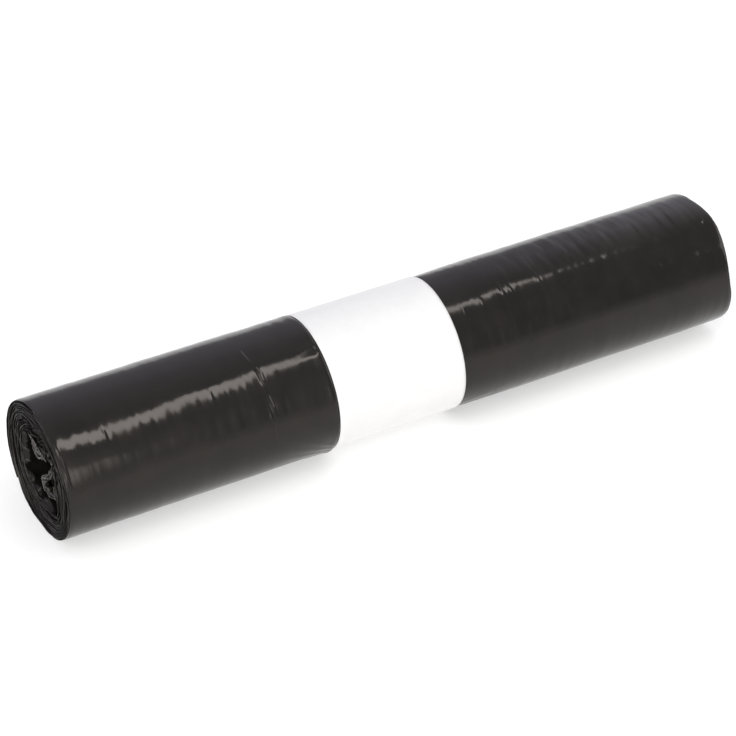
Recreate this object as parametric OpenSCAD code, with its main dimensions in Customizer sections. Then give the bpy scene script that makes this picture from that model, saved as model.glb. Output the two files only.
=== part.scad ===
// A roll of bin bags, wound on a rod that was drawn out again, with a plain paper band round its middle.
// It lies on its side along X, on the small flat that its own weight presses into it.

/* [Roll] */
// Length of the roll from tip to tip, a little more than the width of the folded bags
roll_length = 355.5; // [260:0.5:450]
// Width of the soft roll as it lies, across Y
roll_width = 69; // [60:0.5:80]
// Height of the soft roll as it lies, along Z
roll_height = 64; // [56:0.5:74]
// Depth that the weight of the roll presses off the underside of its oval
flat_depth = 1; // [0.6:0.1:2]
// Depth of the puckers that the band gathers in the film beside it
pucker_depth = 0.4; // [0.1:0.05:0.8]
// Height of the fold that the band pushes up at its near edge, low at the front
fold_height = 0.9; // [0.2:0.1:1.5]
// Turns that show on each end, each of them a bundle of film layers
turns = 14; // [6:1:16]
// Thickness of the last bag at its free edge on the outside
lap_step = 0.3; // [0.2:0.05:0.6]
// Place of that free edge, in degrees up from the back of the roll
lap_angle = -42; // [-60:6:-18]

/* [Hollow] */
// Width of the collapsed hollow
hollow_width = 34; // [26:0.5:38]
// Height of the collapsed hollow
hollow_height = 28; // [24:0.5:32]
// How far the hollow sits below the middle of the roll
hollow_drop = 1.2; // [0:0.1:2]
// Squareness of the hollow: 2 is an ellipse, more is squarer
hollow_squareness = 3.8; // [2:0.1:5]
// Share by which two opposite corners of the hollow are drawn out, the lower front and the upper back
hollow_lean = 0.11; // [0:0.01:0.16]
// Thickness of the loose film that hangs in folds inside the hollow
loose_film = 0.7; // [0.5:0.05:1.1]
// Height of the creases in the loose film
loose_creases = 0.4; // [0:0.05:0.6]

/* [Ends] */
// How much further the back of the near end stands out than its front
near_slant = 5; // [0:0.5:8]
// How much further the back of the far end stands out than its front
far_slant = 0.5; // [0:0.5:6]
// Depth of the waves in the far end, where the roll was pushed in
far_waves = 2; // [0:0.25:4]
// How unevenly the edges of the turns stand
edge_scatter = 1.2; // [0.4:0.1:2]
// Depth of the groove between two turns, below the lowest edge
groove_depth = 0.6; // [0.3:0.1:1.2]
// How far the loose film in the hollow stands back from the ends
loose_setback = 2; // [0.5:0.5:6]

/* [Paper band] */
// Width of the band along the roll
band_width = 66; // [40:1:100]
// Shift of the band from the middle of the roll
band_shift = -7; // [-30:0.5:30]
// Thickness of the paper
paper = 0.2; // [0.15:0.05:0.4]
// Length of the glued overlap, in degrees round the roll
overlap_angle = 24; // [12:6:48]
// Place of the overlap's outer edge, in degrees up from the back of the roll
overlap_edge = 30; // [6:6:54]
// How far the band draws the roll in
band_squeeze = 0.5; // [0.4:0.05:1.2]

/* [Hidden] */

// Points round one turn
round_points = 60;
step_angle = 360 / round_points;
// Angle where the first turn leaves the loose film
start_angle = 42;
// Reach of the pinched film beside the band: its lip, the pucker and the slack
lip_reach = 0.8;
pinch_reach = 4;
slack_reach = 22;
// Distance of the first and second rings of the outside from each end
rim_reach = 3;
pad_reach = 75;
// How far the outermost edge stands back from the crest of its turn
edge_round = 0.25;
// Drift of the crests: degrees a turn, degrees at the start, and its steps at a time on the loose film
crest_turn = 222.5;
crest_start = 40;
crest_stride = 4;
// Waves round the far end, and the angle of one that stands out
wave_count = 4;
wave_angle = 115;
// Share of the squeeze that is left on the lip, on the far side of the band and further out
lip_share = 0.3;
pinch_share = 0.6;
slack_share = 0.5;
// Puckers round the roll beside the band: two waves that don't meet evenly
pucker_waves = [7, 11];
// Angle of the pushed up fold, and how far it spreads
fold_angle = 243;
fold_spread = 16;

oval_height = roll_height + flat_depth;
centre_z = roll_height - oval_height / 2;
hollow_floor = centre_z - hollow_drop - hollow_height / 2;
wall = (roll_width - hollow_width) / 2;
outer_share = lap_step / wall;
skin_share = 1 - outer_share / 2;
inner_share = loose_film / wall;
last = round_points * turns + round((start_angle - lap_angle) / step_angle);
band_start = band_shift - band_width / 2;
band_end = band_shift + band_width / 2;
end_half = roll_length / 2;

// The loose film's folds, as shares of half the hollow: back, then up
loose_folds = [
    [0.64, 0.66], [0.47, 0.42], [0.24, 0.38], [0, 0.6], [-0.3, 0.8], [-0.6, 0.72],
    [-0.66, 0.46], [-0.42, 0.2], [-0.16, -0.1], [-0.26, -0.34], [-0.58, -0.4],
    [-0.84, -0.22], [-0.78, 0.1]
];
fold_steps = 9;
// Creases of the loose film: two waves along its line, in degrees a step
crease_turns = [61, 95];

// Radius at angle a of a rounded box w wide and h high, with its squareness
function rounded(w, h, squareness, a) =
    1 / pow(pow(abs(cos(a)) * 2 / w, squareness) + pow(abs(sin(a)) * 2 / h, squareness), 1 / squareness);

// Radius of the roll's oval, drawn in by inset
function outside(a, inset) = rounded(roll_width - 2 * inset, oval_height - 2 * inset, 2, a);

// A point of the section, back and up, from its angle and radius about a height
function polar(a, r, height) = [r * cos(a), height + r * sin(a)];

// A point of the collapsed hollow's outline
function hollow_point(a) =
    let (radius = rounded(hollow_width, hollow_height, hollow_squareness, a) * (1 + hollow_lean * sin(2 * a)))
    polar(a, radius, centre_z - hollow_drop);

// The film line is numbered from the hollow outwards, and turns down from its start
function film_angle(i) = start_angle - step_angle * i;

// Share of the way from the hollow to the outside: the first and last turns start and end thin
function film_share(i) =
    i < round_points ? inner_share * i / round_points
    : i <= last ? inner_share + (skin_share - inner_share) * (i - round_points) / (last - round_points)
    : skin_share + outer_share * (i - last) / round_points;

// Height that the film at that share is pressed up to: the skin lies on the ground
function pressed_height(share) = hollow_floor * max(0, 1 - share / skin_share);

function film_point(i, inset) =
    let (
        a = film_angle(i),
        share = film_share(i),
        p = hollow_point(a) * (1 - share) + polar(a, outside(a, inset), centre_z) * share
    )
    [p[0], max(p[1], pressed_height(share) + max(inset, 0))];

// A smooth line through points, with an even number of steps between them
function spline(p, steps) = [
    for (k = [0 : len(p) - 2], s = [0 : steps - 1])
        let (
            t = s / steps,
            a = p[max(k - 1, 0)], b = p[k], c = p[k + 1], d = p[min(k + 2, len(p) - 1)]
        )
        b + (c - a) * t / 2
            + (2 * a - 5 * b + 4 * c - d) * t * t / 2
            + (3 * b - a - 3 * c + d) * t * t * t / 2,
    p[len(p) - 1]
];

function middle(p, q) = (p + q) / 2;
function turned(v) = [-v[1], v[0]] / norm(v);

film_start = middle(film_point(0, 0), film_point(round_points, 0));
smooth_line = spline([
    film_start,
    for (f = loose_folds) [f[0] * hollow_width / 2, centre_z - hollow_drop + f[1] * hollow_height / 2]
], fold_steps);
loose_last = len(smooth_line) - 1;
function crease(j) = loose_creases * (sin(crease_turns[0] * j) + sin(crease_turns[1] * j)) / 2;
loose_line = [
    film_start,
    for (j = [1 : loose_last])
        smooth_line[j] + turned(smooth_line[min(j + 1, loose_last)] - smooth_line[j - 1]) * crease(j)
];

// A point beside the loose film's middle line, on its inner side where side is 1
function loose_point(j, side) =
    let (along = loose_line[min(j + 1, loose_last)] - loose_line[j - 1])
    loose_line[j] + turned(along) * side * loose_film / 2;

// How far a point of an end stands back from the end's tip
function slant_depth(p, slant) = slant * (1 - (p[0] - p[1] + centre_z) / (roll_width / sqrt(2))) / 2;
function wave_depth(i, waves) =
    waves * film_share(i) * (1 - cos(wave_count * (film_angle(i) - wave_angle))) / 2;
function crest_depth(i) = edge_scatter * (1 + sin(crest_turn * i / round_points + crest_start)) / 2;
groove = edge_scatter + groove_depth;

// The outside of the last turn has no groove: its edge is nearly at that turn's crest
function line_depth(i) = i < last ? groove : crest_depth(i - round_points) + edge_round;

// Every point of one end: the grooves, the crests of the turns, then the loose film's two sides and crest
function end_points(slant, waves) = [
    for (i = [0 : last + round_points])
        let (p = film_point(i, 0))
        [slant_depth(p, slant) + wave_depth(i, waves) + line_depth(i), p[0], p[1]],
    for (i = [0 : last])
        let (p = middle(film_point(i, 0), film_point(i + round_points, 0)))
        [slant_depth(p, slant) + wave_depth(i, waves) + crest_depth(i), p[0], p[1]],
    for (side = [1, -1], j = [1 : loose_last])
        let (p = loose_point(j, side)) [slant_depth(p, slant) + loose_setback + groove, p[0], p[1]],
    for (j = [1 : loose_last])
        let (p = loose_line[j])
        [slant_depth(p, slant) + loose_setback + crest_depth(crest_stride * j), p[0], p[1]]
];
near_raw = end_points(near_slant, 0);
far_raw = end_points(far_slant, far_waves);
near_tip = min([for (p = near_raw) p[0]]);
far_tip = min([for (p = far_raw) p[0]]);

// Rings of the outside: place along the roll, how far the film is drawn in, its puckers and its fold
rings = [
    [-end_half + near_slant + groove + rim_reach, 0, 0, 0],
    [-end_half + pad_reach, 0, 0, 0],
    [band_start - slack_reach, slack_share * band_squeeze, 0, 0],
    [band_start - pinch_reach, 0, 1, 0.5],
    [band_start - lip_reach, lip_share * band_squeeze, 0.5, 1],
    [band_start, band_squeeze, 0, 0],
    [band_end, band_squeeze, 0, 0],
    [band_end + pinch_reach, pinch_share * band_squeeze, 1, 0],
    [band_end + slack_reach, slack_share * band_squeeze, 0, 0],
    [end_half - pad_reach, 0, 0, 0],
    [end_half - far_slant - far_waves - groove - rim_reach, 0, 0, 0]
];
function pucker(a) = pucker_depth * (2 + sin(pucker_waves[0] * a) + sin(pucker_waves[1] * a)) / 4;
function fold(a) = fold_height * exp((cos(a - fold_angle) - 1) / (1 - cos(fold_spread)));
function ring_edge(i, ring) =
    let (
        a = film_angle(i),
        p = film_point(i, ring[1] + ring[2] * pucker(a) - ring[3] * fold(a))
    )
    [ring[0], p[0], p[1]];
function ring_points(ring) = [
    for (i = [last : last + round_points]) ring_edge(i, ring),
    middle(ring_edge(last, ring), ring_edge(last + round_points, ring))
];
ring_size = round_points + 2;

// The section is shifted so that the roll's width is centred on Y
outline = [for (i = [last : last + round_points]) film_point(i, 0)];
centre_y = (max([for (p = outline) p[0]]) + min([for (p = outline) p[0]])) / 2;

roll_points = [
    for (p = near_raw) [p[0] - near_tip - end_half, p[1] - centre_y, p[2]],
    for (p = far_raw) [end_half + far_tip - p[0], p[1] - centre_y, p[2]],
    for (r = rings, p = ring_points(r)) [p[0], p[1] - centre_y, p[2]]
];

// Places of the points in that list
crest_first = last + round_points + 1;
inner_first = crest_first + last + 1;
outer_first = inner_first + loose_last;
loose_crest_first = outer_first + loose_last;
end_size = loose_crest_first + loose_last;

function flat_quad(a, b, c, d) = [[a, b, c], [a, c, d]];
function flat_back(a, b, c, d) = [[a, c, b], [a, d, c]];

// One end as quads, clockwise where that end is seen from outside at the near end
end_quads = [
    for (i = [0 : last - 1]) each [
        [i, i + 1, crest_first + i + 1, crest_first + i],
        [crest_first + i, crest_first + i + 1, i + 1 + round_points, i + round_points]
    ],
    for (j = [0 : loose_last - 1])
        let (
            inner = j == 0 ? 0 : inner_first + j - 1,
            outer = j == 0 ? round_points : outer_first + j - 1,
            crest = j == 0 ? crest_first : loose_crest_first + j - 1
        )
        each [
            [inner_first + j, inner, crest, loose_crest_first + j],
            [loose_crest_first + j, crest, outer, outer_first + j]
        ]
];

// Loops round the outside and round the hollow with its loose film, as places in one end's list
outer_loop = [for (i = [last : last + round_points]) i, crest_first + last];
hollow_loop = [
    for (i = [0 : round_points]) i,
    for (j = [0 : loose_last - 1]) outer_first + j,
    loose_crest_first + loose_last - 1,
    for (j = [loose_last - 1 : -1 : 0]) inner_first + j
];
function shifted(loop, by) = [for (i = loop) i + by];
skin_loops = [
    outer_loop,
    for (r = [0 : len(rings) - 1]) [for (k = [0 : ring_size - 1]) 2 * end_size + r * ring_size + k],
    shifted(outer_loop, end_size)
];

function band_of_quads(from, to) = [
    for (k = [0 : len(from) - 1]) let (n = (k + 1) % len(from)) [from[k], from[n], to[n], to[k]]
];

roll_faces = [
    for (q = end_quads) each flat_quad(q[0], q[1], q[2], q[3]),
    for (q = end_quads) each flat_back(q[0] + end_size, q[1] + end_size, q[2] + end_size, q[3] + end_size),
    for (s = [0 : len(skin_loops) - 2], q = band_of_quads(skin_loops[s], skin_loops[s + 1]))
        each flat_quad(q[0], q[1], q[2], q[3]),
    for (q = band_of_quads(hollow_loop, shifted(hollow_loop, end_size)))
        each flat_back(q[0], q[1], q[2], q[3])
];

// The wound bags: one length of film from the loose folds in the hollow to the free edge outside
module bag_roll() {
    color("#2b2928")
        polyhedron(points = roll_points, faces = roll_faces, convexity = 20);
}

// The band's outside, which is one paper thick, and two where the ends overlap
overlap_points = round(overlap_angle / step_angle);
overlap_last = last + round((film_angle(last) + 360 - overlap_edge) / step_angle) % round_points;
function paper_layers(i) = i > overlap_last && i < overlap_last + overlap_points ? 2 : 1;
function band_point(i, layers) =
    film_point(i, band_squeeze - layers * paper) - [centre_y, 0];
band_outside = [
    for (i = [last : last + round_points]) each
        i == overlap_last ? [band_point(i, 1), band_point(i, 2)] : [band_point(i, paper_layers(i))]
];
band_inside = [for (i = [last : last + round_points]) band_point(i, 0)];

module paper_band() {
    color("#f4f3f1")
        translate([band_start, 0, 0])
            rotate([90, 0, 90])
                linear_extrude(height = band_width)
                    difference() {
                        polygon(band_outside);
                        polygon(band_inside);
                    }
}

bag_roll();
paper_band();
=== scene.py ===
# A roll of black bin bags with a plain paper band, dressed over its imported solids
# Shapes are worked out in millimetres and angles in degrees up from the back of the roll
import bpy
import math
import numpy as np
from mathutils import Matrix, Vector


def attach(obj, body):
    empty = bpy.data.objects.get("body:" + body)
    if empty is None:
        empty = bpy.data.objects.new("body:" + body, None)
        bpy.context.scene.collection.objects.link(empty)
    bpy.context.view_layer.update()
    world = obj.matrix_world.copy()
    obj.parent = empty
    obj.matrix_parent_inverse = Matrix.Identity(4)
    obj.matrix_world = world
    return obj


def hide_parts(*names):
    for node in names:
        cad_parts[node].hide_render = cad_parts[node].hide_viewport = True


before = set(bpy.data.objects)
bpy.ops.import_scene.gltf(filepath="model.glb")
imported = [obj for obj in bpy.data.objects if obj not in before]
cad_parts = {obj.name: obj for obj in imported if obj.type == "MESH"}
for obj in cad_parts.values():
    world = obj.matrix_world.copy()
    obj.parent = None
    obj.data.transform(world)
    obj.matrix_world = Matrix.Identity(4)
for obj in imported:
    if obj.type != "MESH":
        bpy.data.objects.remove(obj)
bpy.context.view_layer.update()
print("frame loaded")
metre = 1000     # mm


def smooth(value):
    # from 0 to 1 with an even start and end
    value = np.clip(value, 0, 1)
    return value * value * (3 - 2 * value)


def wrapped(degrees):
    # the same direction, from -180 to 180
    return (degrees + 180) % 360 - 180


def cellValue(cell, seed):
    # one fixed value from -1 to 1 for each cell of a grid in space
    mixed = cell[..., 0] * 73856093 ^ cell[..., 1] * 19349663 ^ cell[..., 2] * 83492791 ^ seed * 2654435
    mixed = (mixed ^ (mixed >> 13)) * 1274126177 & 0x7FFFFFFF
    mixed = (mixed ^ (mixed >> 15)) * 668265263 & 0x7FFFFFFF
    return (mixed ^ (mixed >> 12)) / 0x3FFFFFFF - 1


def softNoise(points, size, seed):
    # soft lumps of about that size in mm along x, y and z
    place = points / np.array(size, dtype=float) + 71.3
    cell = np.floor(place).astype(np.int64)
    part = place - cell
    part = part ** 3 * (part * (part * 6 - 15) + 10)
    total = 0
    for corner in np.ndindex(2, 2, 2):
        share = np.prod(np.where(np.array(corner) == 1, part, 1 - part), axis=-1)
        total = total + share * cellValue(cell + np.array(corner), seed)
    return total


def stack(*parts):
    return np.stack(np.broadcast_arrays(*parts), axis=-1)


# the roll's section, as its solid has it
roll = {
    "length": 355.5, "width": 69, "height": 64, "flatDepth": 1,
    "lapStep": 0.3, "lapAngle": -42, "startAngle": 42,
    "hollowWidth": 34, "hollowHeight": 28, "hollowDrop": 1.2, "hollowSquareness": 3.8, "hollowLean": 0.11,
}
ovalHeight = roll["height"] + roll["flatDepth"]
centreZ = roll["height"] - ovalHeight / 2
hollowZ = centreZ - roll["hollowDrop"]
hollowFloor = hollowZ - roll["hollowHeight"] / 2
wall = (roll["width"] - roll["hollowWidth"]) / 2
skinShare = 1 - roll["lapStep"] / wall / 2
lapShare = roll["lapStep"] / wall
halfLength = roll["length"] / 2
halfWidth = roll["width"] / 2
halfHeight = ovalHeight / 2


def roundedRadius(width, height, squareness, angle):
    across = np.abs(np.cos(angle)) * 2 / width
    upward = np.abs(np.sin(angle)) * 2 / height
    return (across ** squareness + upward ** squareness) ** (-1 / squareness)


def filmPoint(angle, share, inset=0.0):
    # back and up, for a layer of film at that share of the way from the hollow to the outside
    a = np.radians(angle)
    inner = roundedRadius(roll["hollowWidth"], roll["hollowHeight"], roll["hollowSquareness"], a)
    inner = inner * (1 + roll["hollowLean"] * np.sin(2 * a))
    outer = roundedRadius(roll["width"] - 2 * inset, ovalHeight - 2 * inset, 2, a)
    y = (inner * (1 - share) + outer * share) * np.cos(a)
    z = (hollowZ + inner * np.sin(a)) * (1 - share) + (centreZ + outer * np.sin(a)) * share
    floor = hollowFloor * np.maximum(0, 1 - share / skinShare) + np.maximum(inset, 0)
    return y, np.maximum(z, floor)


def skinShareAt(turned):
    # the last turn climbs by one lap step; turned is in degrees on from the lap
    return skinShare + lapShare * turned / 360


roundTurned = np.arange(0, 361.0)
roundY = filmPoint(roll["lapAngle"] - roundTurned, skinShareAt(roundTurned))[0]
centreY = (roundY.max() + roundY.min()) / 2

# the ends, in mm and degrees
ends = {
    "nearSlant": 5, "farSlant": 0.5,
    "farWaves": 2, "waveCount": 4, "waveAngle": 115,
    "cornerAngle": 230, "cornerSpread": 16,     # not in the solid, which has the waves alone
    "edgeScatter": 1.2, "edgeRound": 0.25,
    "crestStart": 104.4, "crestTurn": 222.5,    # how the height of an edge drifts, at the last turn
    "tips": {-1: 0.28, 1: 0.06},                # what the highest crest leaves to the roll's length
}


def slantDepth(y, z, slant):
    return slant * (1 - (y - z + centreZ) / (roll["width"] / math.sqrt(2))) / 2


def waveDepth(angle, share, waves):
    wave = waves * share * (1 - np.cos(np.radians(ends["waveCount"] * (angle - ends["waveAngle"])))) / 2
    # one corner stands out again at the lower front
    corner = np.exp(-(wrapped(angle - ends["cornerAngle"]) / ends["cornerSpread"]) ** 2)
    return wave * (1 - corner)


def standingBack(side, angle, share, y, z):
    # how far that place of an end stands back from the end's plane
    if side < 0:
        return slantDepth(y, z, ends["nearSlant"])
    return slantDepth(y, z, ends["farSlant"]) + waveDepth(angle, share, ends["farWaves"])


def lastCrest(turned):
    # the height of the outermost edge drifts once round, as the rest of the turns do
    drift = np.radians(ends["crestStart"] + ends["crestTurn"] * turned / 360)
    return ends["edgeScatter"] * (1 + np.sin(drift)) / 2


def endX(side, depth):
    # the tips of the two ends touch the roll's length
    return side * (halfLength + ends["tips"][side] - depth)


def addNode(tree, kind, sockets=None, **settings):
    # a node of that kind, its sockets linked where they are given another's output
    node = tree.nodes.new(kind)
    for name, value in settings.items():
        setattr(node, name, value)
    for name, value in (sockets or {}).items():
        if isinstance(value, bpy.types.NodeSocket):
            tree.links.new(value, node.inputs[name])
        else:
            node.inputs[name].default_value = value
    return node


def linear(hexColour):
    # an sRGB hex colour as the linear values that the shader takes
    parts = [int(hexColour[i:i + 2], 16) / 255 for i in (1, 3, 5)]
    return [p / 12.92 if p <= 0.04045 else ((p + 0.055) / 1.055) ** 2.4 for p in parts] + [1]


def newMaterial(name):
    material = bpy.data.materials.new(name)
    material.use_nodes = True
    material.node_tree.nodes.clear()
    return material, material.node_tree


# Blown LDPE film, loaded with carbon black: near black in itself, so its look is all reflection.
# The film is drawn from a ring die, which leaves fine gauge lines that run round the roll.
film = {
    "dark": "#121110", "light": "#191716",
    "cutDark": "#131211", "cutLight": "#35322f",
    "ior": 1.39, "specularTint": "#fff5ee",
    "roughLow": 0.10, "roughHigh": 0.15,
    "gaugeLine": 0.9, "gaugeRun": 16,   # mm along and round the roll; real die lines are finer
    "gaugeHeight": 0.012,
    "haze": 0.35, "hazeHeight": 0.004,  # mm, the fine uneven skin of blown film
    "patch": 14,                        # mm, slightly paler and duller patches
    "paleFrom": 0.35, "paleTo": 0.7, "dullFrom": 0.3, "dullTo": 0.7,    # of the patches' noise
}


def makeFilm(name, gauge, rougher, dark, light, shine=0.5):
    material, tree = newMaterial(name)
    place = addNode(tree, "ShaderNodeTexCoord").outputs["Object"]
    stretch = (metre / film["gaugeLine"], metre / film["gaugeRun"], metre / film["gaugeRun"])
    lines = addNode(tree, "ShaderNodeMapping", {"Vector": place, "Scale": stretch})
    gaugeLines = addNode(tree, "ShaderNodeTexNoise", {
        "Vector": lines.outputs[0], "Scale": 1.0, "Detail": 2.0, "Roughness": 0.5})
    haze = addNode(tree, "ShaderNodeTexNoise", {
        "Vector": place, "Scale": metre / film["haze"], "Detail": 2.0, "Roughness": 0.6})
    patches = addNode(tree, "ShaderNodeTexNoise", {
        "Vector": place, "Scale": metre / film["patch"], "Detail": 3.0, "Roughness": 0.6})
    patchShare = addNode(tree, "ShaderNodeMapRange", {
        "Value": patches.outputs["Fac"], "From Min": film["paleFrom"], "From Max": film["paleTo"]})
    tone = addNode(tree, "ShaderNodeMix", {
        0: patchShare.outputs["Result"], 6: linear(dark), 7: linear(light)}, data_type="RGBA")
    rough = addNode(tree, "ShaderNodeMapRange", {
        "Value": patches.outputs["Fac"], "From Min": film["dullFrom"], "From Max": film["dullTo"],
        "To Min": film["roughLow"] + rougher, "To Max": film["roughHigh"] + rougher})
    fine = addNode(tree, "ShaderNodeBump", {
        "Height": haze.outputs["Fac"], "Strength": 1.0, "Distance": film["hazeHeight"] / metre})
    bump = addNode(tree, "ShaderNodeBump", {
        "Height": gaugeLines.outputs["Fac"], "Strength": 1.0,
        "Distance": gauge * film["gaugeHeight"] / metre, "Normal": fine.outputs["Normal"]})
    shader = addNode(tree, "ShaderNodeBsdfPrincipled", {
        "Base Color": tone.outputs[2], "Roughness": rough.outputs["Result"],
        "IOR": film["ior"], "Specular IOR Level": shine,
        "Specular Tint": linear(film["specularTint"]), "Normal": bump.outputs["Normal"]})
    addNode(tree, "ShaderNodeOutputMaterial", {"Surface": shader.outputs["BSDF"]})
    return material


# pulled taut on the outside of the roll
filmSkin = makeFilm("blownLdpeFilmTaut", 1.0, 0.0, film["dark"], film["light"])
# loose in the hollow, where single layers mirror from both of their faces and creases scatter light
filmLoose = makeFilm("blownLdpeFilmLoose", 0.5, 0.0, film["cutDark"], film["cutLight"], 0.85)
# the same film round the hollow, in its darker tone alone and with a weaker reflection: the darker tone is
# painted shade for the hollow's depth
filmHollowPaintedShade = makeFilm("blownLdpeFilmHollowPaintedShade", 0.5, 0.0, film["dark"], film["dark"], 0.36)
# the stack of cut edges, which is duller than a face of the film
filmEdges = makeFilm("blownLdpeFilmEdges", 0.3, 0.05, film["dark"], film["light"], 0.48)

# Uncoated white paper, calendered: matte, faintly warm, with pressed fibres that just show close by
paper = {
    "light": "#dad9d8", "dark": "#d5d4d3",
    "rough": 0.62, "ior": 1.5, "sheen": 0.3,
    "fibre": (0.25, 1.1, 1.1),     # mm: fibres lie mostly round the roll
    "fibreHeight": 0.006,
    "cloud": 9,                    # mm, the uneven pulp, which is a little paler and darker in turn
    "pulpFrom": 0.38, "pulpTo": 0.6,
}


def makePaper(name):
    material, tree = newMaterial(name)
    place = addNode(tree, "ShaderNodeTexCoord").outputs["Object"]
    stretch = tuple(metre / size for size in paper["fibre"])
    along = addNode(tree, "ShaderNodeMapping", {"Vector": place, "Scale": stretch})
    fibres = addNode(tree, "ShaderNodeTexNoise", {
        "Vector": along.outputs[0], "Scale": 1.0, "Detail": 4.0, "Roughness": 0.65})
    clouds = addNode(tree, "ShaderNodeTexNoise", {
        "Vector": place, "Scale": metre / paper["cloud"], "Detail": 4.0, "Roughness": 0.6})
    mixed = addNode(tree, "ShaderNodeMath", {
        0: fibres.outputs["Fac"], 1: clouds.outputs["Fac"]}, operation="ADD")
    halved = addNode(tree, "ShaderNodeMath", {0: mixed.outputs[0], 1: 0.5}, operation="MULTIPLY")
    pulp = addNode(tree, "ShaderNodeMapRange", {
        "Value": halved.outputs[0], "From Min": paper["pulpFrom"], "From Max": paper["pulpTo"]})
    tone = addNode(tree, "ShaderNodeMix", {
        0: pulp.outputs["Result"], 6: linear(paper["dark"]), 7: linear(paper["light"])}, data_type="RGBA")
    bump = addNode(tree, "ShaderNodeBump", {
        "Height": fibres.outputs["Fac"], "Strength": 1.0, "Distance": paper["fibreHeight"] / metre})
    shader = addNode(tree, "ShaderNodeBsdfPrincipled", {
        "Base Color": tone.outputs[2], "Roughness": paper["rough"],
        "IOR": paper["ior"], "Sheen Weight": paper["sheen"], "Normal": bump.outputs["Normal"]})
    addNode(tree, "ShaderNodeOutputMaterial", {"Surface": shader.outputs["BSDF"]})
    return material


bandPaper = makePaper("uncoatedWhitePaper")
print("materials made")


def makePiece(name, points, quads, material, node):
    # points in mm; the piece rides on the roll and stands for one of its solids
    mesh = bpy.data.meshes.new(name)
    shifted = (points - np.array([0, centreY, 0])) / metre
    mesh.vertices.add(len(shifted))
    mesh.vertices.foreach_set("co", shifted.astype(np.float32).ravel())
    quads = np.asarray(quads)
    mesh.loops.add(quads.size)
    mesh.loops.foreach_set("vertex_index", quads.astype(np.int32).ravel())
    mesh.polygons.add(len(quads))
    mesh.polygons.foreach_set("loop_start", np.arange(0, quads.size, 4, dtype=np.int32))
    mesh.polygons.foreach_set("use_smooth", np.ones(len(quads), dtype=bool))
    mesh.update(calc_edges=True)
    mesh.validate()
    mesh.materials.append(material)
    piece = bpy.data.objects.new(name, mesh)
    bpy.context.scene.collection.objects.link(piece)
    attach(piece, "root")
    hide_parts(node)
    print(name, len(quads) * 2, "triangles")


def gridQuads(rows, columns, first=0):
    # quads over a grid of points that is stored row by row
    index = first + np.arange(rows * columns).reshape(rows, columns)
    return np.stack([index[:-1, :-1], index[1:, :-1], index[1:, 1:], index[:-1, 1:]], axis=-1).reshape(-1, 4)


# the skin: the last turn, from rim to rim, with its free edge low at the back
skin = {
    "underlap": 14,          # degrees that run on under the free edge
    "stepAngle": 2.0,
    # mm between stations: along the roll, across creases, at the band's two edges and under it
    "stepAlong": 0.8, "stepFine": 0.3, "stepNear": 0.3, "stepFar": 0.4, "stepUnder": 6.0,
    "rimSteps": (0, 0.15, 0.35, 0.6), "lipOut": 3, "lipIn": 1,
    "bandStart": -40, "bandEnd": 26,
    "squeeze": 0.5, "floorGap": 0.03,
    "slack": 0.25, "slackAt": 20, "slackSpread": 14,
    "lipReach": 0.9, "lipHeight": 0.2, "bulgeAt": 2.2, "bulgeSpread": 1.8, "farEase": 24,
    "puckerDepth": 0.4, "nearPucker": 7, "farPucker": 9, "smoothAt": 125, "smoothSpread": 42,
    "foldAngle": 243, "foldSpread": 16, "foldHeight": 0.9, "foldReach": 9,
    "creaseSlant": 0.03, "wander": 0.2, "wanderCount": 25,    # mm a degree, mm, times round
    "creaseReach": (1.2, 1.3),     # mm of close stations before and after a crease
    "gatherStart": 1.5, "gatherWiden": 0.06,    # mm over which a gather rises, how it widens a mm
    # heights of the ripples that break the edges of a reflection
    "gaugeRipple": 0.05, "fineRipple": 0.03, "softRipple": 0.15, "slackRipple": 0.08,
    # their sizes along the roll, back and up, and where the slack ones set in
    "gaugeSize": (3.4, 16, 16), "gaugeWide": (7.5, 14, 14), "wideShare": 0.7,
    "fineSize": (1.9, 9, 9), "softSize": (22, 18, 18), "slackSize": (12, 15, 15),
    "slackFrom": 30, "slackOver": 60,
    "rimRoll": 0.35, "rimReach": 1.6,
    "rimNick": 0.12, "nickSize": 5,                           # mm and degrees
    "slantReach": 25,        # mm from each end that follow its slant
    "shoulder": 1.2, "shoulderReach": 42, "shoulderAt": 147, "shoulderSpread": 16, "shoulderCalm": 0.6,
    # the free edge: degrees that are uneven, teeth in degrees and mm, a slow wander in degrees and mm
    "edgeReach": 8, "toothHeight": 0.6, "toothPitch": 3.1, "edgeWander": 0.5, "edgeSize": 14,
    "tuckAngle": 0.2, "tuckDepth": 0.95,    # how it meets the turn below: degrees, share of the step
}
# short creases across the film: x, first and last angle, height, width
creases = [
    (-74.4, 94, 106, 0.20, 0.6), (-72.6, 115, 131, 0.20, 0.6), (-71.2, 118, 128, 0.07, 0.5),
    (-71.6, 139, 153, 0.24, 0.6), (-72.8, 154, 169, 0.16, 0.6),
    (-149.3, 125, 131, 0.13, 0.6), (-97.0, 121, 127, 0.04, 0.5),
    (34.0, 121, 128, 0.06, 0.5), (44.0, 116, 123, 0.10, 0.5),
    (56.0, 108, 118, 0.18, 0.6), (60.5, 111, 119, 0.14, 0.5), (76.0, 109, 117, 0.12, 0.5),
    (171.5, 109.4, 111.6, 0.25, 0.6),
]
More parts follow.
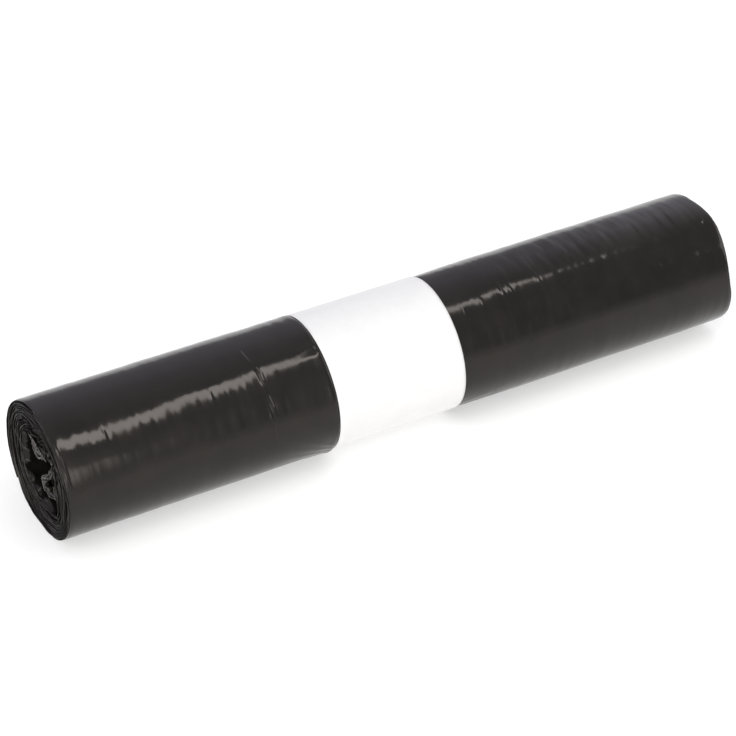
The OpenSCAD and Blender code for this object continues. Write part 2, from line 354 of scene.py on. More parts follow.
# gathers that the band pulls into the film: side of it, angle there, degrees a mm, reach, height, width
gathers = [
    (-1, 119.0, 0.10, 17, 0.20, 2.2), (-1, 108.5, 0.38, 12, 0.20, 1.8), (-1, 97.0, -0.10, 12, 0.12, 3.0),
    (-1, 207.0, -1.10, 15, 0.26, 1.5), (-1, 213.0, -0.85, 17, 0.34, 1.4), (-1, 219.0, -0.60, 18, 0.36, 1.4),
    (-1, 225.0, -0.35, 18, 0.36, 1.4), (-1, 231.5, -0.12, 16, 0.30, 1.6),
    (-1, 262.0, 0.2, 14, 0.2, 3.0), (-1, 40.0, 0.2, 14, 0.2, 3.0),
    (1, 212.0, -0.50, 18, 0.14, 2.0), (1, 221.0, -0.30, 22, 0.18, 1.8), (1, 229.0, -0.10, 22, 0.18, 2.0),
    (1, 60.0, 0.15, 16, 0.12, 3.0), (1, 290.0, 0.2, 16, 0.2, 3.0),
]
# long soft swells: x and angle at both ends, height, width in degrees
swells = [(-120, 118, -60, 112, 0.10, 6.0), (60, 100, 150, 92, 0.10, 7.0)]


def skinInset(x, angle):
    # how far the taut film is drawn in from the oval, in mm
    start = skin["bandStart"]
    end = skin["bandEnd"]
    a = np.radians(angle)
    places = stack(x, halfWidth * np.cos(a), halfHeight * np.sin(a))
    # slack towards the band, then the lip that turns in under the paper
    slack = skin["slack"] * np.exp(-((x - start + skin["slackAt"]) / skin["slackSpread"]) ** 2)
    nearLip = smooth((x - start + skin["lipReach"]) / skin["lipReach"]) * skin["squeeze"]
    farLip = np.exp(-np.maximum(0, x - end) / skin["farEase"]) * skin["squeeze"]
    under = np.where(x < (start + end) / 2, nearLip, farLip)
    beside = np.where(x < start, np.exp(-(start - x) / skin["nearPucker"]), 0)
    beside = beside + np.where(x > end, np.exp(-(x - end) / skin["farPucker"]), 0)
    beside = beside * (1 - (x > start) * (x < end))
    # puckers of three lengths, so that they don't repeat round the roll
    waves = (np.sin(7 * a) + np.sin(11 * a) + np.sin(17 * a + 1) * 0.6) / 2.6
    # the far side of the band lies smooth over the upper front
    smoothSide = np.exp(-((angle % 360 - skin["smoothAt"]) / skin["smoothSpread"]) ** 4)
    smoothSide = np.where(x > end, smoothSide, 0)
    pucker = skin["puckerDepth"] * (1 + waves) / 2 * beside * (1 - smoothSide)
    turnedFrom = np.cos(np.radians(angle - skin["foldAngle"])) - 1
    spread = np.exp(turnedFrom / (1 - math.cos(math.radians(skin["foldSpread"]))))
    fold = skin["foldHeight"] * spread * np.where(x < start, np.exp(-(start - x) / skin["foldReach"]), 0)
    lipBulge = skin["lipHeight"] * np.exp(-((x - start + skin["bulgeAt"]) / skin["bulgeSpread"]) ** 2)
    outsideBand = 1 - smooth(x - start + 1) * smooth(end + 1 - x)
    raised = np.zeros_like(x)
    for side, at, drift, reach, height, width in gathers:
        away = np.maximum(0, (start - x) if side < 0 else (x - end))
        off = wrapped(angle - at - drift * away)
        fade = np.exp(-(away / reach) ** 1.5) * smooth(away / skin["gatherStart"])
        wider = width * (1 + skin["gatherWiden"] * away)
        raised = raised + height * fade * np.exp(-np.abs(off / wider) ** 1.6)
    for fromX, fromAngle, toX, toAngle, height, width in swells:
        part = (x - fromX) / (toX - fromX)
        off = wrapped(angle - fromAngle - (toAngle - fromAngle) * part)
        ending = smooth(part * 4 + 1) * smooth((1 - part) * 4 + 1)
        raised = raised + height * ending * np.exp(-(off / width) ** 2)
    # ripples of the film itself: die lines run round the roll, and slack film heaves a little
    gauge = softNoise(places, skin["gaugeSize"], 3)
    gauge = gauge + skin["wideShare"] * softNoise(places, skin["gaugeWide"], 4)
    fine = softNoise(places, skin["fineSize"], 7)
    soft = softNoise(places, skin["softSize"], 5)
    farSlack = smooth((x - skin["slackFrom"]) / skin["slackOver"])
    farSlack = farSlack * softNoise(places, skin["slackSize"], 6)
    ripple = skin["gaugeRipple"] * gauge + skin["fineRipple"] * fine
    ripple = ripple + skin["softRipple"] * soft + skin["slackRipple"] * farSlack
    crease = np.zeros_like(x)
    for at, low, high, height, width in creases:
        off = wrapped(angle - (low + high) / 2)
        wander = skin["wander"] * np.sin(np.radians(angle * skin["wanderCount"]))
        line = at + skin["creaseSlant"] * off + wander
        over = np.exp(-((x - line) / width) ** 2) - 0.5 * np.exp(-((x - line - 2 * width) / width) ** 2)
        crease = crease + height * over * smooth(1.5 - np.abs(off) / (high - low) * 2)
    # the near end is drawn in a little on its front shoulder
    drawn = np.clip(1 - (x + halfLength) / skin["shoulderReach"], 0, 1) ** 2
    off = wrapped(angle - skin["shoulderAt"])
    across = np.exp(-(off / skin["shoulderSpread"]) ** 2)
    shoulder = skin["shoulder"] * drawn * across
    ripple = ripple * (1 - skin["shoulderCalm"] * np.sqrt(drawn) * across)
    inset = slack + under + pucker + shoulder - fold - lipBulge * outsideBand
    return inset + (ripple - crease - raised) * outsideBand


def rimDepth(side, angle, turned):
    # the rim of the skin, a little behind the crest of the outermost edges
    share = skinShareAt(turned)
    y, z = filmPoint(angle, share)
    still = np.zeros_like(turned)
    places = stack(turned / skin["nickSize"], still + side * 3.0, still)
    nicks = skin["rimNick"] * softNoise(places, (1, 1, 1), 9)
    return standingBack(side, angle, share, y, z) + lastCrest(turned) + ends["edgeRound"] + nicks


def makeSkin():
    turned = np.arange(-skin["underlap"], 360 + 0.01, skin["stepAngle"])
    start = skin["bandStart"]
    end = skin["bandEnd"]
    lipOut = skin["lipOut"]
    lipIn = skin["lipIn"]
    near = np.arange(-halfLength, start - lipOut, skin["stepAlong"])
    nearLip = np.arange(start - lipOut, start + lipIn, skin["stepNear"])
    under = np.arange(start + lipIn, end - lipIn, skin["stepUnder"])
    farLip = np.arange(end - lipIn, end + lipOut, skin["stepFar"])
    far = np.arange(end + lipOut, halfLength + 0.01, skin["stepAlong"])
    rimSteps = np.array(skin["rimSteps"])
    stations = [
        -halfLength + rimSteps, near[1:], nearLip, under, farLip, far[:-1], halfLength - rimSteps[::-1],
    ]
    before, after = skin["creaseReach"]
    for crease in creases:
        stations.append(np.arange(crease[0] - before, crease[0] + after, skin["stepFine"]))
    stations = np.unique(np.round(np.concatenate(stations), 1))
    x, t = np.meshgrid(stations, turned, indexing="ij")
    angle = roll["lapAngle"] - t
    # a stretch at each end follows its slant
    reach = skin["slantReach"]
    nearRim = endX(-1, rimDepth(-1, angle, t)) + halfLength
    farRim = endX(1, rimDepth(1, angle, t)) - halfLength
    moved = x + nearRim * smooth((-halfLength + reach - x) / reach)
    moved = moved + farRim * smooth((x - halfLength + reach) / reach)
    inset = skinInset(moved, angle)
    fromRim = np.minimum(x + halfLength, halfLength - x)
    inset = inset + skin["rimRoll"] * np.maximum(0, 1 - fromRim / skin["rimReach"]) ** 2
    # the film's free edge lies a little uneven, with the small teeth of a torn perforation
    edge = smooth((t - (360 - skin["edgeReach"])) / skin["edgeReach"])
    share = skinShareAt(t)
    tooth = skin["toothHeight"] * np.sin(x * 2 * math.pi / skin["toothPitch"])
    tooth = tooth + skin["edgeWander"] * softNoise(stack(x, x * 0, x * 0), (skin["edgeSize"], 1, 1), 12)
    angle = angle - edge * tooth
    y, z = filmPoint(angle, share, inset)
    z = np.maximum(z, skin["floorGap"])
    grid = stack(moved, y, z).reshape(-1, 3)
    quads = gridQuads(len(stations), len(turned))
    # the edge's own thickness: one more row, pressed on to the turn below
    lastRow = grid.reshape(len(stations), len(turned), 3)[:, -1]
    yIn, zIn = filmPoint(
        angle[:, -1] - skin["tuckAngle"], share[:, -1] - lapShare * skin["tuckDepth"], inset[:, -1])
    tuck = stack(moved[:, -1], yIn, zIn)
    points = np.concatenate([grid, lastRow, tuck])
    base = len(grid)
    count = len(stations)
    k = np.arange(count - 1)
    edgeQuads = np.stack([base + k, base + k + 1, base + count + k + 1, base + count + k], axis=-1)
    return points, np.concatenate([quads, edgeQuads])


points, quads = makeSkin()
makePiece("filmSkin", points, quads, filmSkin, "bag_roll")

# the wound ends: one long film whose edge stands unevenly, turn upon turn
winding = {
    "stepsRound": 220,
    # mm between turns, at those shares of the way from the hollow to the outside
    "pitches": (0.80, 0.60, 0.60, 0.50), "pitchAt": (0, 0.35, 0.7, 1),
    "bundle": 3.6,           # turns of film that lie close together
    # gaps in a bundle and between bundles, as shares of the pitch, and how abruptly they change
    "closePitch": 0.66, "bundleGap": 2.4, "bundleSharp": 0.42,
    "filmHalf": 0.23, "thickest": 0.22,      # half of a layer: share of its gap, and mm at most
    # shares of the wall: where the first turn starts, the gaps beside the first and last, the least gap
    "first": 0.012, "gapFirst": 0.03, "gapLast": 0.012, "gapLeast": 0.004,
    "scatter": 1.9,         # mm, how unevenly bundles stand
    "single": 0.90,          # mm, how unevenly single turns stand
    "nick": 0.10,            # mm, the small nicks of a cut edge
    "nickSteps": 2.2,
    "grooveTight": 2.6, "grooveLoose": 5.0,
    "looseWithin": 0.75,     # share of the wall, counted from the hollow, whose turns are slack
    "innerWaver": 0.9, "waverGap": 0.5,      # mm, and the gap in mm that lets a turn waver in full
    "crumple": 1.8, "heap": 3.2, "heapBack": 0.6,                  # mm
    "crumpleAt": 105, "crumpleSpread": 50, "crumpleShare": 0.66,   # degrees, and how far out
    "lean": 0.45,            # how far an edge leans to a side, as a share of its gap
    # round one edge of the film: across in half layers, and back in mm
    "profile": (
        (-1.0, 1.1), (-1.0, 0.22), (-0.62, 0.04), (0.0, 0.0), (0.62, 0.04), (1.0, 0.22), (1.0, 1.1),
    ),
    "edgeDeep": 1.1,
    "innermost": 0.002,      # share, the nearest to the hollow that a layer comes
}


def windingShares():
    # walks from the hollow outwards, a step at a time, until the wall is full
    shares = [winding["first"]]
    turn = 0.0
    while shares[-1] < 1:
        pitch = np.interp(shares[-1], winding["pitchAt"], winding["pitches"])
        between = math.sin(math.pi * (turn + 0.35 * math.sin(turn * 0.9)) / winding["bundle"])
        parting = math.exp(-(between / winding["bundleSharp"]) ** 2)
        # the gaps close towards the taut outside
        wider = winding["closePitch"] + winding["bundleGap"] * (1.1 - shares[-1]) * parting
        shares.append(shares[-1] + pitch * wider / wall / winding["stepsRound"])
        turn += 1 / winding["stepsRound"]
    return np.array(shares)


def makeWoundEnd(side, seed):
    shares = windingShares()
    steps = winding["stepsRound"]
    last = len(shares) - 1
    shares = shares * (skinShare / shares[-1])
    index = np.arange(len(shares))
    # the last turn ends where the skin's free edge is
    angle = roll["lapAngle"] + 360 * (last - index) / steps
    turn = index / steps
    before = shares[np.maximum(index - steps, 0)]
    after = shares[np.minimum(index + steps, last)]
    gapIn = np.where(index < steps, winding["gapFirst"], shares - before)
    gapOut = np.where(index > last - steps, shares[-1] + winding["gapLast"] - shares, after - shares)
    gap = np.minimum(gapIn, np.maximum(gapOut, winding["gapLeast"]))
    acrossY = np.cos(np.radians(angle))
    acrossZ = np.sin(np.radians(angle))
    still = np.zeros_like(turn)

    def turnNoise(turns, size, seed):
        # soft lumps that neighbouring turns share, their size round the roll a share of its radius
        return softNoise(stack(turns, acrossY / size, acrossZ / size), (1, 1, 1), seed)

    # neighbouring turns stand alike, so bundles rise and fall together
    bundles = turnNoise(turn / 1.9, 1.1, seed)
    single = turnNoise(turn * 1.1, 0.5, seed + 1)
    nicks = softNoise(stack(index / winding["nickSteps"], still, still), (1, 1, 1), seed + 2)
    y, z = filmPoint(angle, shares)
    looseness = smooth(1 - shares / winding["looseWithin"])
    rim = smooth((1.02 - shares) / 0.08)
    crest = winding["scatter"] * (0.5 + 0.5 * bundles) + winding["single"] * single + winding["nick"] * nicks
    crest = np.maximum(crest, 0) * rim + lastCrest(360 * (index - last) / steps + 360) * (1 - rim)
    groove = winding["grooveTight"] + (winding["grooveLoose"] - winding["grooveTight"]) * looseness
    depth = standingBack(side, angle, shares, y, z)
    half = np.minimum(winding["filmHalf"] * gap, winding["thickest"] / wall)
    # the slack inner turns waver, each a little differently from its neighbour
    waver = winding["innerWaver"] / wall * looseness * turnNoise(turn * 0.45, 0.16, seed + 3)
    waver = waver * np.minimum(1, gap * wall / winding["waverGap"])
    # under the top they are crumpled as well
    off = wrapped(angle - winding["crumpleAt"])
    crumpled = np.exp(-(off / winding["crumpleSpread"]) ** 2)
    crumpled = crumpled * smooth((winding["crumpleShare"] - shares) / 0.3)
    crumpled = crumpled * smooth(shares / 0.05)
    folded = turnNoise(turn * 0.4, 0.13, seed + 5)
    waver = waver + winding["crumple"] / wall * crumpled * folded
    heaped = turnNoise(turn * 0.42, 0.20, seed + 6)
    crest = crest + winding["heap"] * crumpled * np.abs(heaped) * 1.6 - winding["heapBack"] * crumpled
    crest = np.maximum(crest, 0)
    lean = winding["lean"] * gap * turnNoise(turn * 0.9, 0.2, seed + 4)
    # the groove before a layer, then round its edge
    y, z = filmPoint(angle, np.maximum(shares - gapIn / 2 + waver * 0.7, winding["innermost"]))
    rows = [stack(endX(side, depth + crest + groove), y, z)]
    for across, back in winding["profile"]:
        share = shares + across * half + waver + lean * (1 - back / winding["edgeDeep"])
        y, z = filmPoint(angle, np.maximum(share, winding["innermost"]))
        rows.append(stack(endX(side, depth + crest + back), y, z))
    count = len(rows)
    points = np.concatenate(rows)
    n = len(shares)
    k = np.arange(n - 1)
    quads = []
    for row in range(count - 1):
        here = row * n + k
        quads.append(np.stack([here, here + 1, here + n + 1, here + n], axis=-1))
    # on to the groove of the next turn
    k = np.arange(n - 1 - steps)
    top = (count - 1) * n
    quads.append(np.stack([top + k, top + k + 1, k + 1 + steps, k + steps], axis=-1))
    quads = np.concatenate(quads)
    if side > 0:
        quads = quads[:, ::-1]
    return points, quads


for name, side, seed in (("woundNearEnd", -1, 21), ("woundFarEnd", 1, 31)):
    points, quads = makeWoundEnd(side, seed)
    makePiece(name, points, quads, filmEdges, "bag_roll")

# the lining of the hollow: the first turn, all the way through the roll
lining = {
    "stepAngle": 2, "dense": 0.9, "sparse": 6, "reach": 45,
    "share": 0.004, "stand": 0.9,
    # lumps and pleats: heights, and sizes along the roll, back and up, in mm
    "waver": 0.9, "pleat": 1.7, "lumpSize": (9, 6, 6), "pleatSize": (24, 5, 5), "pleatSharp": 2.4,
    "rim": 0.006,                   # share of the length over which both fade in
    "most": 0.012,                   # share, the furthest that it swells back into the turns
}


def alongHollow(dense, sparse, reach):
    # stations along the roll, close together near the two ends
    near = np.arange(0, reach, dense)
    middle = np.arange(reach, 2 * halfLength - reach, sparse)
    far = 2 * halfLength - near[::-1]
    return np.concatenate([near, middle, far]) / (2 * halfLength)


def makeLining():
    part = alongHollow(lining["dense"], lining["sparse"], lining["reach"])
    turned = np.arange(0, 360.1, lining["stepAngle"])
    p, t = np.meshgrid(part, turned, indexing="ij")
    angle = roll["startAngle"] - t
    share = np.full_like(t, lining["share"])
    y, z = filmPoint(angle, share)
    nearX = endX(-1, standingBack(-1, angle, share, y, z) + lining["stand"])
    farX = endX(1, standingBack(1, angle, share, y, z) + lining["stand"])
    x = nearX * (1 - p) + farX * p
    # lumps, and pleats that run slantwise into the hollow
    lumps = softNoise(stack(x, y, z), lining["lumpSize"], 41)
    slantwise = stack(x + 0.8 * z, y - 0.3 * x, z + 0.2 * x)
    pleats = 1 - lining["pleatSharp"] * np.abs(softNoise(slantwise, lining["pleatSize"], 42))
    shift = (lining["waver"] * (lumps - 0.6) - lining["pleat"] * np.maximum(0, pleats) ** 2) / wall
    # none at the rim, where it meets the first turn
    inwards = smooth(np.minimum(p, 1 - p) / lining["rim"])
    y, z = filmPoint(angle, share + np.minimum(shift * inwards, lining["most"]))
    return stack(x, y, z).reshape(-1, 3), gridQuads(len(part), len(turned))


points, quads = makeLining()
makePiece("hollowLining", points, quads, filmHollowPaintedShade, "bag_roll")

# the loose film in the hollow: the first bags, crumpled where the rod was drawn out
loose = {
    "layers": 5,
    # mm between the layers that lie together, fold by fold: heaped at first, then close
    "spacings": (0.4, 1.0, 1.35, 1.3, 1.0, 0.8, 0.6, 0.55, 0.5, 0.5, 0.55, 0.6, 0.55, 0.5, 0.4),
    "lift": (0.0, 1.6, 3.0, 2.8, 1.8, 0.8, 0.2, 0.0, 0.0, 0.0, 0.0, 0.0, 0.0, 0.0, 0.0),
    "curl": 0.4,                           # mm, how far an edge curls to a side
    "perFold": 22,
    "crumple": 0.5, "pleat": 0.55,         # mm, soft lumps and sharp pleats of the film
    "lumpSize": (8, 3.4, 1), "pleatSize": (11, 2.3, 1), "pleatSharp": 2.6,
    "stand": 0.9, "uneven": 1.8,           # mm, how far its edges stand back, and how unevenly
    "groove": 3.0,
    "thick": 0.42, "thickShare": 0.35,     # half of a layer: mm at most, and the share of its gap
    # round one edge of the film: across in half layers, and back in mm
    "profile": (
        (-1.0, 1.4), (-1.0, 0.3), (-0.6, 0.06), (0.0, 0.0), (0.6, 0.06), (1.0, 0.3), (1.0, 1.4),
    ),
    "edgeDeep": 1.4,
    "faceStand": 2.2, "faceShare": 0.75,   # where the two outer faces start, and how far out they lie
    "dense": 2.2, "sparse": 9, "reach": 26,
}
# the folds as shares of half the hollow: back, then up
looseFolds = [
    (0.58, 0.78), (0.36, 0.56), (0.10, 0.50), (-0.12, 0.66), (-0.36, 0.82), (-0.62, 0.78),
    (-0.68, 0.5), (-0.42, 0.14), (-0.2, -0.16), (-0.08, -0.34), (-0.26, -0.47), (-0.56, -0.5),
    (-0.84, -0.28), (-0.8, 0.08),
]


def curveThrough(knots, steps):
    # a smooth line through those points
    knots = np.array(knots, dtype=float)
    padded = np.concatenate([[2 * knots[0] - knots[1]], knots, [2 * knots[-1] - knots[-2]]])
    line = []
    for k in range(len(knots) - 1):
        a, b, c, d = padded[k:k + 4]
        for step in range(steps):
            t = step / steps
            line.append(b + (c - a) * t / 2 + (2 * a - 5 * b + 4 * c - d) * t * t / 2
                        + (3 * b - a - 3 * c + d) * t ** 3 / 2)
    line.append(knots[-1])
    return np.array(line)


def looseLine():
    # from where the first turn leaves the loose film
    startY, startZ = filmPoint(np.array([roll["startAngle"]]), np.array([0.03]))
    knots = [(startY[0], startZ[0])]
    for across, upward in looseFolds:
        knots.append((across * roll["hollowWidth"] / 2, hollowZ + upward * roll["hollowHeight"] / 2))
    return curveThrough(knots, loose["perFold"])


def makeLooseFilm(seed):
    line = looseLine()
    along = np.gradient(line, axis=0)
    square = np.stack([-along[:, 1], along[:, 0]], axis=-1) / np.linalg.norm(along, axis=1)[:, None]
    s = np.concatenate([[0], np.cumsum(np.linalg.norm(np.diff(line, axis=0), axis=1))])
    still = np.zeros_like(s)

    def lineNoise(size, apart, seed):
        # soft lumps of that size in mm along the film's line, another row of them for each layer
        return softNoise(stack(s / size, still + apart, still), (1, 1, 1), seed)

    pinch = smooth(s / 4) * smooth((s[-1] - s) / 3)
    fold = np.arange(len(s)) / loose["perFold"]
    uneven = 1 + 0.35 * lineNoise(3.5, 0, seed)
    spacing = np.interp(fold, np.arange(len(loose["spacings"])), loose["spacings"])
    spacing = spacing * (0.4 + 0.6 * pinch) * uneven
    lift = np.interp(fold, np.arange(len(loose["lift"])), loose["lift"])
    layers = loose["layers"]
    half = layers / 2 * spacing

    def sway(x, seed):
        # crumples shared by the layers, sharper near the ends
        long = np.broadcast_to(s, x.shape)
        lumps = softNoise(stack(x, long, x * 0), loose["lumpSize"], seed)
        slantwise = stack(x + 0.7 * long, long, x * 0)
        pleats = 1 - loose["pleatSharp"] * np.abs(softNoise(slantwise, loose["pleatSize"], seed + 1))
        return pinch * (loose["crumple"] * lumps + loose["pleat"] * pleats) - lift

    def place(x, offset):
        y = line[:, 0] + square[:, 0] * offset
        z = line[:, 1] + square[:, 1] * offset
        return stack(x, y, z)

    points = []
    quads = []
    used = 0
    n = len(s)
    rims = {}
    for side in (-1, 1):
        base = standingBack(side, 0, 0, line[:, 0], line[:, 1]) + loose["stand"]
        rows = []
        for layer in range(layers):
            own = seed + 11 * layer + (side > 0) * 5
            edge = base + loose["uneven"] * (0.5 + 0.5 * lineNoise(6, layer * 0.7, own))
            edge = edge + 0.25 * lineNoise(1.3, 0, own + 1)
            waver = 0.3 * pinch * lineNoise(2.4, layer * 0.45, own + 2)
            centre = (layer + 0.5) * spacing - half + waver
            thick = np.minimum(loose["thick"], spacing * loose["thickShare"])
            curl = loose["curl"] * pinch * lineNoise(1.5, layer * 0.8, own + 3)
            for across, back in loose["profile"]:
                x = endX(side, edge + back)
                curled = curl * (1 - back / loose["edgeDeep"])
                rows.append(place(x, centre + across * thick + sway(x, seed) + curled))
            if layer < layers - 1:
                x = endX(side, edge + loose["groove"])
                rows.append(place(x, (layer + 1) * spacing - half + sway(x, seed)))
        grid = np.array(rows)
        points.append(grid.reshape(-1, 3))
        block = gridQuads(len(rows), n, used)
        quads.append(block if side < 0 else block[:, ::-1])
        rims[side] = (used, used + (len(rows) - 1) * n)
        used += grid.size // 3
    # the two outer faces run on from end to end; their first and last rows are the ribs' own
    part = alongHollow(loose["dense"], loose["sparse"], loose["reach"])[1:-1]
    firstX, lastX = [
        endX(side, standingBack(side, 0, 0, line[:, 0], line[:, 1]) + loose["stand"] + loose["faceStand"])
        for side in (-1, 1)
    ]
    for face, offset in ((0, -half), (1, half)):
        rows = []
        for p in part:
            x = firstX * (1 - p) + lastX * p
            rows.append(place(x, offset * loose["faceShare"] + sway(x, seed)))
        grid = np.array(rows)
        points.append(grid.reshape(-1, 3))
        quads.append(gridQuads(len(rows), n, used))
        k = np.arange(n - 1)
        for side, row in ((-1, 0), (1, len(rows) - 1)):
            a = rims[side][face] + k
            b = used + row * n + k
            quads.append(np.stack([a, a + 1, b + 1, b], axis=-1))
        used += grid.size // 3
    return np.concatenate(points), np.concatenate(quads)


points, quads = makeLooseFilm(50)
makePiece("looseFilm", points, quads, filmLoose, "bag_roll")

# the paper band, with its glued overlap at the upper back, which its solid lacks
band = {
    "start": skin["bandStart"], "end": skin["bandEnd"],
    "squeeze": skin["squeeze"], "thick": 0.2,
    "overlapEdge": 30, "overlap": 24, "overlapEase": 4,
    "stepAngle": 2, "stepAlong": 1.5,
    "ripple": 0.05, "rippleSize": (40, 16, 16), "stillFrom": 30, "stillEase": 3,
    "lift": 0.03,            # mm that both faces stand off, clear of the film
    "under": 0.02,           # share of the paper's thickness that its inner face stands off as well
}


def makeBand():
    start = band["start"]
    end = band["end"]
    turned = np.arange(0, 360 + band["overlap"] + 0.01, band["stepAngle"])
    along = np.linspace(start, end, int((end - start) / band["stepAlong"]) + 1)
    x, t = np.meshgrid(along, turned, indexing="ij")
    angle = band["overlapEdge"] - t
    # the outer end lies on the inner one, and comes down over a few degrees
    over = 1 - smooth((t - band["overlap"] + 1) / band["overlapEase"])
    share = skinShareAt(np.mod(roll["lapAngle"] - angle, 360))
    places = stack(x, halfWidth * np.cos(np.radians(angle)), halfHeight * np.sin(np.radians(angle)))
    ripple = band["ripple"] * softNoise(places, band["rippleSize"], 71)
    # calmer towards its edges
    nearEdge = smooth((np.abs(x - (start + end) / 2) - band["stillFrom"]) / band["stillEase"])
    ripple = ripple * (1 - nearEdge * 0.5)
    base = band["squeeze"] - ripple * 0.5 - band["lift"]
    surfaces = []
    for layer in (over + 1, over + band["under"]):
        inset = base - layer * band["thick"]
        y, z = filmPoint(angle, share, inset)
        surfaces.append(stack(x, y, z))
    outer, inner = surfaces
    rows, columns = x.shape
    points = np.concatenate([outer.reshape(-1, 3), inner.reshape(-1, 3)])
    count = rows * columns
    quads = [gridQuads(rows, columns), gridQuads(rows, columns, count)[:, ::-1]]
    index = np.arange(count).reshape(rows, columns)
    for line in (index[0], index[-1][::-1], index[:, 0][::-1], index[:, -1]):
        quads.append(np.stack([line[:-1], line[1:], line[1:] + count, line[:-1] + count], axis=-1))
    return points, np.concatenate(quads)


points, quads = makeBand()
makePiece("paperBand", points, quads, bandPaper, "paper_band")

# the floor, in metres: a white opal sheet, a little lit from below, which keeps the shadow pale
stageSizes = {
    "floorHalf": 14.0, "floorTone": "#c9c9c8", "glowTone": "#ffffff", "glow": 0.45,
    "grainScale": 900.0, "grainHeight": 0.00002,
}


def makeFloor():
    half = stageSizes["floorHalf"]
    mesh = bpy.data.meshes.new("studioFloor")
    corners = [(-half, -half, 0), (half, -half, 0), (half, half, 0), (-half, half, 0)]
    mesh.from_pydata(corners, [], [(0, 1, 2, 3)])
    material, tree = newMaterial("opalAcrylicSheet")
    place = addNode(tree, "ShaderNodeTexCoord").outputs["Object"]
    grain = addNode(tree, "ShaderNodeTexNoise", {
        "Vector": place, "Scale": stageSizes["grainScale"], "Detail": 2.0})
    bump = addNode(tree, "ShaderNodeBump", {
        "Height": grain.outputs["Fac"], "Distance": stageSizes["grainHeight"]})
    shader = addNode(tree, "ShaderNodeBsdfPrincipled", {
        "Base Color": linear(stageSizes["floorTone"]), "Roughness": 0.9, "IOR": 1.3,
        "Emission Color": linear(stageSizes["glowTone"]), "Emission Strength": stageSizes["glow"],
        "Normal": bump.outputs["Normal"]})
    addNode(tree, "ShaderNodeOutputMaterial", {"Surface": shader.outputs["BSDF"]})
    mesh.materials.append(material)
    floor = bpy.data.objects.new("studioFloor", mesh)
    bpy.context.scene.collection.objects.link(floor)


makeFloor()

lights = {
    # name: place, target, direction of its long side, long side, short side, radiance against white
    "overheadStrip": ((0.423, -0.058, 1.266), (0.0, 0.0, 0.05), (0.98, 0.49, 1.25), 1.775, 0.145, 6.2),
    "leftPanel": ((-1.75, -0.95, 1.35), (0.0, 0.0, 0.0), (0.5, -1.0, 0.0), 2.1, 1.8, 2.3),
    "leftLowPanel": ((-1.75, -1.55, 0.34), (0.0, 0.0, 0.05), (0.66, -0.75, 0.0), 1.7, 0.6, 3.6),
    "rightPanel": ((2.5, -0.75, 1.35), (0.0, 0.0, 0.0), (0.3, 1.0, 0.0), 2.0, 1.8, 2.0),
}


def makeLight(name, place, target, direction, width, length, radiance):
    light = bpy.data.lights.new(name, "AREA")
    light.shape = "RECTANGLE"
    light.size = width
    light.size_y = length
    light.energy = radiance * math.pi * width * length   # watts for that radiance
    lamp = bpy.data.objects.new(name, light)
    bpy.context.scene.collection.objects.link(lamp)
    away = (Vector(place) - Vector(target)).normalized()
    along = Vector(direction).normalized()
    across = away.cross(along).normalized()
    turned = Matrix([along, across, along.cross(across)]).transposed()
    lamp.matrix_world = Matrix.Translation(place) @ turned.to_4x4()
    lamp.visible_camera = False


for name, values in lights.items():
    makeLight(name, *values)

studio = {
    "front": 0.62, "frontLow": 0.30,      # a dim ceiling in front, and how much paler its foot is
    "reflector": 3.6,                     # a narrow card in front, seen only where the near end is drawn in
    "frontTone": "#ffffff", "backTone": "#f1effc",
}
# how the room changes: axis of the direction, from and to along it, value before and after
fades = {
    "behind": ("Y", -0.02, 0.68, 0.0, 1.0),
    "low": ("Z", 0.85, 0.42, 0.0, 1.0),
    "leftward": ("X", 0.27, 0.42, 1.0, 0.0),
    "cardLeft": ("X", -0.06, 0.04, 0.0, 1.0),
    "cardRight": ("X", 0.12, 0.235, 1.0, 0.0),
    "cardFoot": ("Z", 0.15, 0.50, 0.0, 1.0),
    "cardTop": ("Z", 0.50, 0.54, 1.0, 0.0),
    "rightward": ("X", 0.27, 0.42, 0.3, 1.0),
    "horizon": ("Z", 0.24, -0.02, 0.0, 0.58),
    "wall": ("Z", 0.15, 0.60, 0.62, 0.90),
    "window": ("X", 0.42, 0.50, 1.0, 1.9),      # brighter behind the far end
    "side": ("X", 0.15, 0.55, 1.0, 0.78),
}


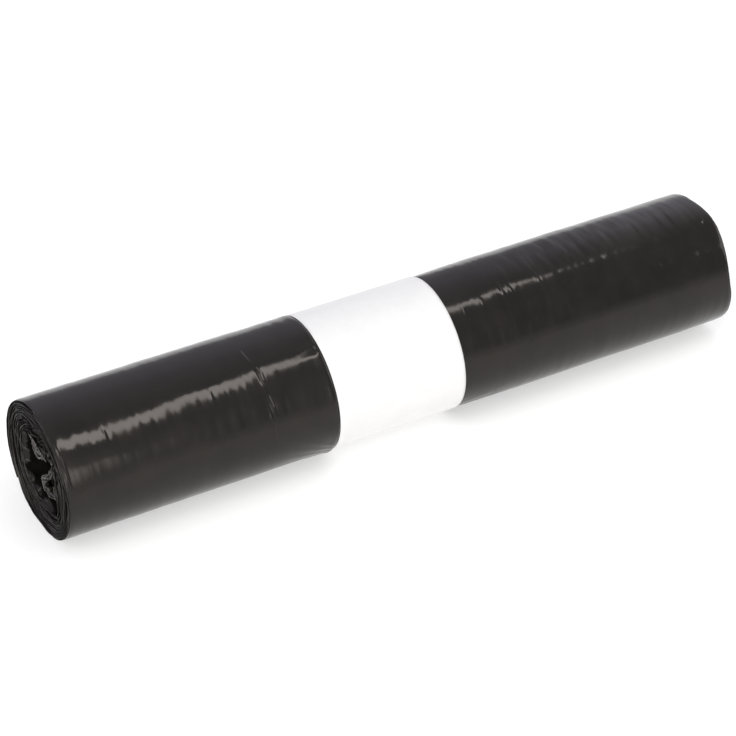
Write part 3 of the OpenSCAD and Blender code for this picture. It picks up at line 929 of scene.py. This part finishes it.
def makeWorld():
    # a pale room, dimmer overhead in front, with a cooler wall behind the roll
    world = bpy.data.worlds.new("studioRoom")
    bpy.context.scene.world = world
    world.use_nodes = True
    tree = world.node_tree
    tree.nodes.clear()
    place = addNode(tree, "ShaderNodeTexCoord").outputs["Generated"]
    parts = addNode(tree, "ShaderNodeSeparateXYZ", {"Vector": place})
    room = {}
    for name, (axis, start, end, first, last) in fades.items():
        room[name] = addNode(tree, "ShaderNodeMapRange", {
            "Value": parts.outputs[axis], "From Min": start, "From Max": end,
            "To Min": first, "To Max": last}, interpolation_type="SMOOTHSTEP").outputs["Result"]
    foot = addNode(tree, "ShaderNodeMath", {0: room["low"], 1: room["leftward"]}, operation="MULTIPLY")
    front = addNode(tree, "ShaderNodeMath", {
        0: foot.outputs[0], 1: studio["frontLow"], 2: studio["front"]}, operation="MULTIPLY_ADD")
    front = addNode(tree, "ShaderNodeMath", {
        0: room["horizon"], 1: room["rightward"], 2: front.outputs[0]}, operation="MULTIPLY_ADD")
    card = studio["reflector"]
    for name in ("cardLeft", "cardRight", "cardFoot", "cardTop"):
        card = addNode(tree, "ShaderNodeMath", {0: card, 1: room[name]}, operation="MULTIPLY").outputs[0]
    ahead = addNode(tree, "ShaderNodeMath", {0: front.outputs[0], 1: card}, operation="ADD")
    back = addNode(tree, "ShaderNodeMath", {0: room["wall"], 1: room["window"]}, operation="MULTIPLY")
    around = addNode(tree, "ShaderNodeMix", {
        "Factor": room["behind"], "A": ahead.outputs[0], "B": back.outputs[0]})
    strength = addNode(tree, "ShaderNodeMath", {
        0: around.outputs["Result"], 1: room["side"]}, operation="MULTIPLY")
    tone = addNode(tree, "ShaderNodeMix", {
        0: room["behind"], 6: linear(studio["frontTone"]), 7: linear(studio["backTone"])}, data_type="RGBA")
    shader = addNode(tree, "ShaderNodeBackground", {
        "Color": tone.outputs[2], "Strength": strength.outputs[0]})
    addNode(tree, "ShaderNodeOutputWorld", {"Surface": shader.outputs[0]})


makeWorld()

# the photograph's viewing angle, in metres, degrees and mm of lens and sensor
view = {
    "target": (-0.00957, -0.00321, 0.03125), "distance": 1.14303,
    "azimuth": -27.727, "elevation": 38.423, "lens": 118.24, "sensor": 36, "clipEnd": 60,
}


def makeCamera():
    a = math.radians(view["azimuth"])
    e = math.radians(view["elevation"])
    away = Vector((math.sin(a) * math.cos(e), -math.cos(a) * math.cos(e), math.sin(e)))
    data = bpy.data.cameras.new("photoCamera")
    data.lens = view["lens"]
    data.sensor_width = view["sensor"]
    data.clip_end = view["clipEnd"]
    camera = bpy.data.objects.new("photoCamera", data)
    bpy.context.scene.collection.objects.link(camera)
    camera.location = Vector(view["target"]) + away * view["distance"]
    camera.rotation_euler = away.to_track_quat("Z", "Y").to_euler()
    bpy.context.scene.camera = camera


makeCamera()
bpy.context.scene.view_settings.view_transform = "Standard"
print("stage, lights and camera set")
